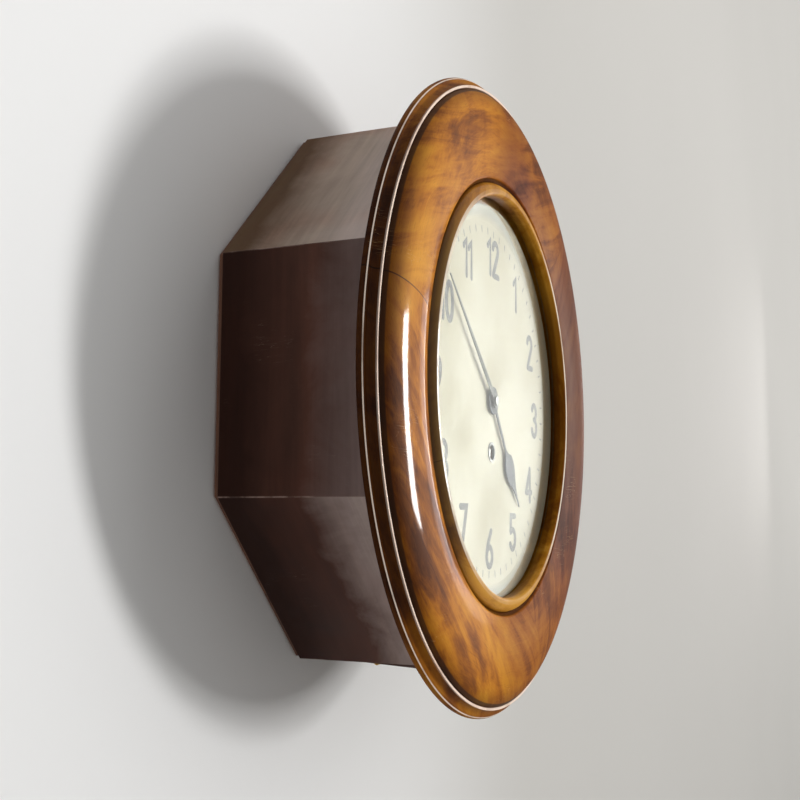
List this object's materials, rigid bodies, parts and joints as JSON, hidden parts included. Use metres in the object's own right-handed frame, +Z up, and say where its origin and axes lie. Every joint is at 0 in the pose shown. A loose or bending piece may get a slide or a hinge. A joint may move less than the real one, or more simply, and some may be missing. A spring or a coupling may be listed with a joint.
{
  "type": "wall clock",
  "caption": "Wall clock with an octagonal wooden case, a turned wooden ring for its glazed front door, plain numerals and a spring-driven pendulum movement.",
  "frame": {"origin": "on the wall plane, on the axis of the octagonal case and of the round door", "axes": "-Y is the front, towards the viewer; +Z is up; +X is right as seen from the front"},
  "size_m": [0.4043, 0.1208, 0.4044],
  "materials": {
    "case_wood": "satin",
    "ring_wood": "gloss",
    "bezel_wood": "gloss",
    "board_wood": "matte",
    "glass": "gloss",
    "putty": "matte",
    "dial_enamel": "satin",
    "brass": "satin",
    "steel": "satin",
    "hand_steel": "satin"
  },
  "bodies": {
    "case": {"panel_top": "case_wood", "panel_upper_left": "case_wood", "panel_left": "case_wood", "panel_lower_left": "case_wood", "panel_bottom_rear": "case_wood", "panel_lower_right": "case_wood", "panel_right": "case_wood", "panel_upper_right": "case_wood", "back_board": "board_wood", "back_board_screws": "steel", "corner_blocks": "board_wood", "dial_board": "board_wood", "hanging_plate": "steel", "door_hinge_case_leaves": "brass", "trapdoor_hinge_case_leaves": "brass", "hinge_pins": "steel", "case_screws": "steel", "door_catch": "brass", "dial": "dial_enamel", "dial_pins": "brass", "winding_collet": "brass", "front_plate": "brass", "back_plate": "brass", "pillars": "brass", "pillar_nuts": "steel", "click_spring": "steel", "suspension_cock": "brass"},
    "door": {"door_ring": "ring_wood", "door_bezel": "bezel_wood", "glass": "glass", "glazing_bead": "putty", "door_hinge_door_leaves": "brass", "door_hinge_screws": "steel", "door_peg": "brass"},
    "trapdoor": {"trapdoor": "case_wood", "trapdoor_hinge_door_leaves": "brass", "trapdoor_hinge_screws": "steel"},
    "minute_arbor": {"centre_arbor": "steel", "centre_wheel": "brass", "cannon_pinion": "brass", "minute_hand": "hand_steel", "hand_nut": "brass"},
    "hour_pipe": {"hour_wheel": "brass", "hour_hand": "hand_steel"},
    "minute_wheel": {"minute_wheel": "brass"},
    "relay": {"relay_wheel": "brass"},
    "barrel": {"barrel": "brass", "barrel_cover": "brass", "mainspring": "steel"},
    "third": {"third_wheel": "brass"},
    "escape": {"escape_wheel": "brass"},
    "winding_arbor": {"winding_arbor": "steel", "ratchet_wheel": "steel"},
    "click": {"click": "steel"},
    "pendulum": {"suspension_spring": "steel", "pendulum_rod": "steel", "pendulum_bob": "brass", "rating_nut": "brass"},
    "anchor": {"anchor": "steel", "crutch": "brass"}
  },
  "joints": [
    {"name": "door_hinge", "type": "hinge", "parent": "case", "child": "door", "pos_m": [0.1678, -0.0992, 0], "axis": [0, 0, 1], "range_deg": [0, 95]},
    {"name": "trapdoor_hinge", "type": "hinge", "parent": "case", "child": "trapdoor", "pos_m": [0, -0.04575, -0.167], "axis": [1, 0, 0], "range_deg": [-3, 90]},
    {"name": "minute_turn", "type": "hinge", "parent": "case", "child": "minute_arbor", "pos_m": [0, -0.0945, -0.0024], "axis": [0, 1, 0], "continuous": true},
    {"name": "hour_turn", "type": "hinge", "parent": "case", "child": "hour_pipe", "pos_m": [0, -0.0963, -0.0024], "axis": [0, 1, 0], "continuous": true},
    {"name": "minute_wheel_turn", "type": "hinge", "parent": "case", "child": "minute_wheel", "pos_m": [0.012, -0.0945, -0.0024], "axis": [0, 1, 0], "continuous": true},
    {"name": "relay_turn", "type": "hinge", "parent": "case", "child": "relay", "pos_m": [-0.02287, -0.0842, -0.01119], "axis": [0, 1, 0], "continuous": true},
    {"name": "barrel_turn", "type": "hinge", "parent": "case", "child": "barrel", "pos_m": [0, -0.061, -0.0358], "axis": [0, 1, 0], "continuous": true},
    {"name": "third_turn", "type": "hinge", "parent": "case", "child": "third", "pos_m": [0.01504, -0.07, 0.01553], "axis": [0, 1, 0], "continuous": true},
    {"name": "escape_turn", "type": "hinge", "parent": "case", "child": "escape", "pos_m": [0, -0.062, 0.0284], "axis": [0, 1, 0], "continuous": true},
    {"name": "winding_turn", "type": "hinge", "parent": "case", "child": "winding_arbor", "pos_m": [0, -0.0938, -0.0358], "axis": [0, 1, 0], "continuous": true},
    {"name": "click_lift", "type": "hinge", "parent": "case", "child": "click", "pos_m": [0.017, -0.0562, -0.0218], "axis": [0, -1, 0], "range_deg": [0, 15], "stiffness_Nm_per_rad": 0.01, "springref_deg": -5.73},
    {"name": "pendulum_swing", "type": "hinge", "parent": "case", "child": "pendulum", "pos_m": [0, -0.0462, 0.0475], "axis": [0, 1, 0], "range_deg": [-3, 3]},
    {"name": "anchor_rock", "type": "hinge", "parent": "case", "child": "anchor", "pos_m": [0, -0.0562, 0.0475], "axis": [0, 1, 0], "range_deg": [-3, 3]}
  ],
  "couplings": [
    {"joint": "hour_turn", "follows": "minute_turn", "ratio": 0.083333},
    {"joint": "minute_wheel_turn", "follows": "minute_turn", "ratio": -0.33333},
    {"joint": "relay_turn", "follows": "minute_turn", "ratio": -0.16667},
    {"joint": "barrel_turn", "follows": "minute_turn", "ratio": 0.027778},
    {"joint": "third_turn", "follows": "minute_turn", "ratio": -12},
    {"joint": "escape_turn", "follows": "minute_turn", "ratio": 132},
    {"joint": "anchor_rock", "follows": "pendulum_swing", "ratio": 1}
  ]
}
